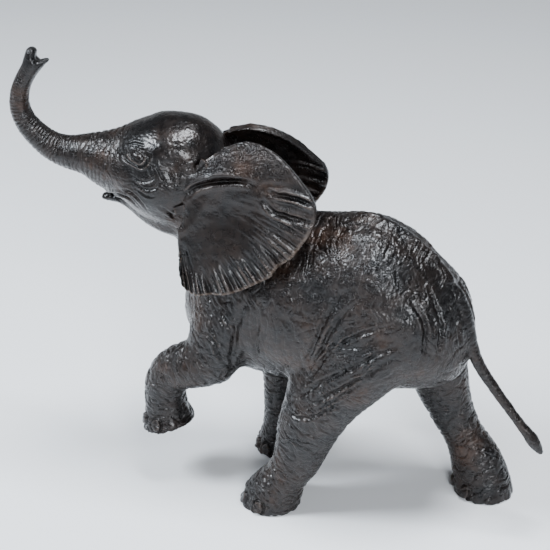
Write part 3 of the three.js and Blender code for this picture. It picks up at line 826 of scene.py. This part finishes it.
def ear_relief(sheet, u, v):
    """How far the ear's outer face stands out, in mm, over a grid of u down the root or rim
    and v from root to rim."""
    flat = sheet.reshape(-1, 3)

    def waves(across, along_ear, seed):
        grid = np.stack([u * across, v * along_ear, v * 0], -1)
        return noise(grid.reshape(-1, 3), seed).reshape(u.shape)

    rim_pull = 2.0 * waves(9, 0.8, 60)
    phase = u * 46 + 1.3 * rim_pull
    pleat = np.abs((phase % 1) - 0.5) * 2
    lower = step(0.36, 0.52, u) * (1 - 0.5 * step(0.93, 1.0, u))
    reach = step(0.55, 0.97, v + 0.12 * waves(14, 0, 61))
    height = -lower * reach * (2.1 * (1 - step(0.0, 0.75, pleat)) - 0.6)
    wide = np.sin(2 * np.pi * (u * 13 + 0.21 * rim_pull))
    height += lower * step(0.6, 1.0, v) * 1.9 * wide
    height += 0.35 * step(0.25, 0.8, v) * waves(60, 5, 62)
    dish = np.exp(-(((sheet[..., 0] + 24) / 25) ** 2 + ((sheet[..., 2] - 229) / 21) ** 2))
    height -= 3.2 * dish
    band = step(246, 258, sheet[..., 2] - 0.10 * (sheet[..., 0] + 30))
    height += 2.4 * band * (1 - 0.5 * step(0.8, 1.0, v))
    routes = [([(-57, -42, 238), (-52, -42, 244), (-44, -41, 249.5), (-34, -40, 252.5),
                (-20, -39, 253.5), (-6, -40, 252)], 3.0, 1.7, 0.5),
              ([(2, -44, 247), (12, -45, 247), (24, -46, 245), (39, -47, 240)], 2.0, 1.4, 1.0),
              ([(-1, -46, 243), (6, -46, 235), (20, -48, 232), (37, -49, 229)], 1.8, 1.8, 0.9),
              ([(10, -46, 227), (22, -48, 222), (34, -50, 215)], 1.2, 1.6, 0.6),
              ([(-56, -40, 205), (-54, -44, 194), (-50, -48, 182)], 1.2, 1.8, 0.6)]
    for route, depth, width, lip in routes:
        height += fold(flat, route, depth, width, lip, wobble=0.5).reshape(u.shape)
    grain = 0.22 * ridged(flat / 2.2, 63) + 0.2 * ridged(flat / 1.2, 64)
    strength = 0.35 + 0.65 * band + 0.3 * step(0.8, 1.0, v)
    height -= strength * grain.reshape(u.shape)
    height += 0.25 * noise(flat / 5.0, 65).reshape(u.shape)
    return height


def ear_sheet(side):
    """Points and quads of one ear, and at each point how smooth it is and how light its upper rim
    band is, which is partly rubbed bronze and partly a painted highlight.
    """
    u = np.linspace(0, 1, EAR_COLUMNS)
    root = even(curve(EAR_ROOT), u)[:, None]
    rim = even(curve(EAR_RIM), u)
    scallop = 1.7 * noise(np.stack([u * 22, u * 0, u * 0], 1), 66) * step(0.3, 0.5, u)
    middle = np.array(EAR_ROOT[2], float)
    rim = (rim + unit(rim - middle) * scallop[:, None])[:, None]
    v = np.concatenate([np.linspace(-EAR_INSET, 0.9, EAR_ROWS - 16),
                        1 - 0.1 * (1 - np.sin(np.linspace(0, 0.5, 17)[1:] * np.pi))])
    v_grid, u_grid = np.meshgrid(v, u)
    sheet = root + (rim - root) * v_grid[..., None]
    hollow = EAR_HOLLOW * np.sin(np.pi * np.clip(v_grid, 0, 1)) * np.sqrt(np.sin(np.pi * u_grid))
    sheet[..., 1] += hollow
    across = np.gradient(sheet, axis=1)
    down = np.gradient(sheet, axis=0)
    outward = unit(np.cross(across, down))
    outward *= -np.sign(outward[..., 1:2])
    relief = ear_relief(sheet, u_grid, v_grid)
    thickness = (EAR_ROOT_THICKNESS + (EAR_RIM_THICKNESS - EAR_ROOT_THICKNESS)
                 * np.clip(v_grid, 0, 1) ** 0.6)
    roll = np.sqrt(np.clip(1 - ((v_grid - 0.965) / 0.035).clip(0, 1) ** 2, 0, 1))
    thickness = thickness * (0.12 + 0.88 * roll) * (1 + 0.3 * step(0.9, 0.97, v_grid))
    crown_roll = (1 - step(0.25, 0.5, u_grid)) * step(0.8, 0.97, v_grid)
    back_relief = relief * (0.2 + 0.5 * step(0.7, 1.0, v_grid)) - 2.6 * crown_roll
    dive = 7.5 * (1 - step(EAR_INSET_START, 0.20, v_grid)) * step(0.0, 0.12, u_grid)
    front = sheet + outward * (thickness / 2 + relief - dive)[..., None]
    back = sheet + outward * (back_relief - thickness / 2)[..., None]
    columns, rows = u_grid.shape
    points = np.concatenate([front.reshape(-1, 3), back.reshape(-1, 3)])
    number = np.arange(columns * rows).reshape(columns, rows)
    behind = number + columns * rows
    quads = [np.stack([number[:-1, :-1], number[1:, :-1], number[1:, 1:], number[:-1, 1:]], -1),
             np.stack([behind[:-1, :-1], behind[:-1, 1:], behind[1:, 1:], behind[1:, :-1]], -1)]
    edges = [number[:, 0][::-1], number[:, -1], number[0], number[-1][::-1]]
    quads = [q.reshape(-1, 4) for q in quads]
    for edge in edges:
        quads.append(np.stack([edge[:-1], edge[1:], edge[1:] + columns * rows,
                               edge[:-1] + columns * rows], -1))
    quads = np.concatenate(quads)
    if side > 0:
        pivot = np.array(EAR_ROOT[2], float)
        points = turned(points, EAR_SWEEP, pivot) - (0, 0, EAR_DROP)
        points = points * (1, -1, 1)
        quads = quads[:, ::-1]
    # A lighter band along the ear's upper rim: partly rubbed bronze, partly a painted highlight.
    rim_rub_and_highlight = step(0.955, 0.985, v_grid) * step(0.28, 0.45, u_grid) * 0.68
    dish = np.exp(-(((sheet[..., 0] + 22) / 30) ** 2 + ((sheet[..., 2] - 226) / 24) ** 2))
    rub_and_highlight, smooth = np.tile(rim_rub_and_highlight.ravel(), 2), np.tile(dish.ravel(), 2)
    return from_head_frame(points), quads, rub_and_highlight, smooth


def ear_pieces(material):
    for ear, side in zip(EARS, (-1, 1)):
        points, quads, rim, smooth = ear_sheet(side)
        skin = Skin(points, quads, np.zeros(len(points), int))
        skin.smooth(0.5, 2)
        # The ear's lighter upper rim band goes into the wear attribute. It is partly rubbed bronze
        # and partly a painted highlight.
        finish = np.stack([np.maximum(0.5 * skin.wear(), rim), 1 - 0.85 * smooth], axis=1)
        piece = make_piece("skin_" + ear, skin.points, skin.quads, np.zeros((0, 3), int),
                           skin.normals(), finish, material)
        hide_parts(ear, *[pin for pin in BARE if ear in pin])


patina = bronze("patinated_bronze")
skin_pieces(patina)
ear_pieces(patina)
bare = bare_bronze("bare_bronze")
for node in BARE:
    NODES[node].data.materials.clear()
    NODES[node].data.materials.append(bare)


# ---- studio ---------------------------------------------------------------------------

FLOOR_SIZE = 16.0                # metres, like everything in this part of the script


def studio():
    """A paper floor, under a room that is pale at eye level and dim above."""
    bpy.ops.mesh.primitive_plane_add(size=FLOOR_SIZE, location=(0, 0, 0))
    floor = bpy.context.object
    floor.name = "floor"
    material, nodes, links = new_material("floor_paper")
    shader = nodes["Principled BSDF"]
    shader.inputs["Base Color"].default_value = (0.86, 0.86, 0.87, 1)
    shader.inputs["Roughness"].default_value = 0.75
    floor.data.materials.append(material)
    world = bpy.data.worlds.new("studio")
    bpy.context.scene.world = world
    world.use_nodes = True
    nodes, links = world.node_tree.nodes, world.node_tree.links
    direction = nodes.new("ShaderNodeTexCoord").outputs["Generated"]
    height = nodes.new("ShaderNodeSeparateXYZ")
    links.new(direction, height.inputs[0])
    wall = ramp(nodes, links, height.outputs["Z"],
                [(0.0, (0.62, 0.64, 0.66)), (0.10, (0.55, 0.57, 0.60)),
                 (0.45, (0.13, 0.14, 0.15))])
    links.new(wall, nodes["Background"].inputs["Color"])
    nodes["Background"].inputs["Strength"].default_value = 1.0


def softbox(name, place, target, size, power, colour):
    light = bpy.data.lights.new(name, "AREA")
    light.shape = "RECTANGLE"
    light.size, light.size_y = size
    light.energy = power
    light.color = colour
    lamp = bpy.data.objects.new(name, light)
    lamp.location = place
    lamp.rotation_mode = "QUATERNION"
    lamp.rotation_quaternion = (Vector(target) - Vector(place)).to_track_quat("-Z", "Y")
    bpy.context.scene.collection.objects.link(lamp)


AZIMUTH, ELEVATION = math.radians(24), math.radians(27)
CAMERA_DISTANCE = 1.106
CENTRE = (CAD_LOW + CAD_HIGH) / 2
AIM = CENTRE + Vector((-0.0117, 0.0040, 0.0012))


def camera():
    back = Vector((math.sin(AZIMUTH) * math.cos(ELEVATION),
                   -math.cos(AZIMUTH) * math.cos(ELEVATION), math.sin(ELEVATION)))
    lens = bpy.data.cameras.new("camera")
    lens.lens, lens.sensor_width = 100, 36
    lens.clip_start, lens.clip_end = 0.01, 20
    eye = bpy.data.objects.new("camera", lens)
    eye.location = AIM + back * CAMERA_DISTANCE
    eye.rotation_mode = "QUATERNION"
    eye.rotation_quaternion = (-back).to_track_quat("-Z", "Y")
    bpy.context.scene.collection.objects.link(eye)
    bpy.context.scene.camera = eye


studio()
softbox("key", (-1.0, -0.65, 1.35), CENTRE, (0.5, 0.5), 44, (0.84, 0.92, 1.0))
softbox("top", (0.2, 0.0, 1.5), CENTRE, (0.5, 0.4), 30, (0.88, 0.94, 1.0))
softbox("side", (0.66, -0.95, 0.82), CENTRE, (0.3, 0.5), 15, (0.90, 0.95, 1.0))
camera()
